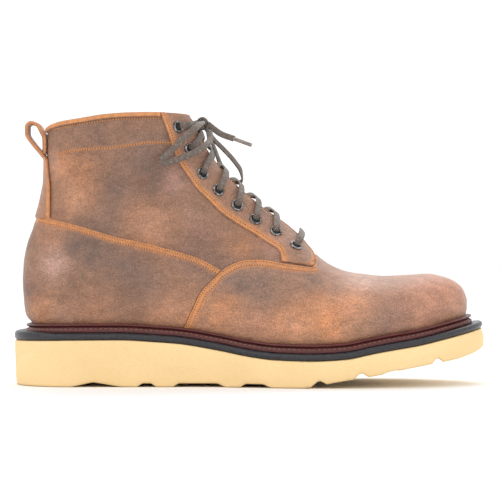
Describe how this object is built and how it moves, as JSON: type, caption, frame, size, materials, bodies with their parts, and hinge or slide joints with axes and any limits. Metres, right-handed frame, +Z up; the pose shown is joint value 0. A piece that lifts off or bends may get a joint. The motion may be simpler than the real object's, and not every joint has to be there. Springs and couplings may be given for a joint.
{
  "type": "wedge sole work boot",
  "caption": "Right six-inch lace-up work boot: hollow leather upper with round plain toe, storm welt and a light wedge sole with shallow tread. Stands empty on its sole.",
  "frame": {"origin": "on the floor, under the middle of the outsole's length and width", "axes": "+X to the toe, +Z up to the collar, -Y to the outer side of a right boot"},
  "size_m": [0.3049, 0.1129, 0.1749],
  "materials": {
    "cream_rubber": "matt blown rubber, cream, lightly sanded on the side",
    "dark_rubber": "smooth dark grey sheet with a rounded edge",
    "welt_leather": "oxblood, burnished and glossy",
    "footbed": "plain natural leather board",
    "upper_leather": "waxed rough leather, tan to dark brown, matt with soft sheen",
    "eyelet_metal": "dark gunmetal plating, worn bright at the rim",
    "lace_cloth": "flat woven cotton lace, taupe brown",
    "lace_film": "thin clear brown film over the lace's tip"
  },
  "bodies": {
    "root": {"outsole": "cream_rubber", "midsole": "dark_rubber", "welt": "welt_leather", "insole": "footbed", "upper": "upper_leather", "tongue": "upper_leather", "vamp": "upper_leather", "counter": "upper_leather", "eyestay_outer": "upper_leather", "eyestay_inner": "upper_leather", "collar_band": "upper_leather", "pull_loop": "upper_leather", "eyelet_outer_1": "eyelet_metal", "eyelet_outer_2": "eyelet_metal", "eyelet_outer_3": "eyelet_metal", "eyelet_outer_4": "eyelet_metal", "eyelet_outer_5": "eyelet_metal", "eyelet_outer_6": "eyelet_metal", "eyelet_outer_7": "eyelet_metal", "eyelet_outer_8": "eyelet_metal", "eyelet_inner_1": "eyelet_metal", "eyelet_inner_2": "eyelet_metal", "eyelet_inner_3": "eyelet_metal", "eyelet_inner_4": "eyelet_metal", "eyelet_inner_5": "eyelet_metal", "eyelet_inner_6": "eyelet_metal", "eyelet_inner_7": "eyelet_metal", "eyelet_inner_8": "eyelet_metal", "lace_bar_low": "lace_cloth", "lace_bar_top": "lace_cloth", "lace_crossing_1": "lace_cloth", "lace_crossing_2": "lace_cloth", "lace_crossing_3": "lace_cloth", "lace_crossing_4": "lace_cloth", "lace_crossing_5": "lace_cloth", "lace_crossing_6": "lace_cloth", "lace_knot": "lace_cloth", "lace_loop_outer": "lace_cloth", "lace_loop_front": "lace_cloth", "lace_end_front": "lace_cloth", "lace_end_inner": "lace_cloth", "lace_tip_front": "lace_film", "lace_tip_inner": "lace_film"}
  },
  "joints": []
}
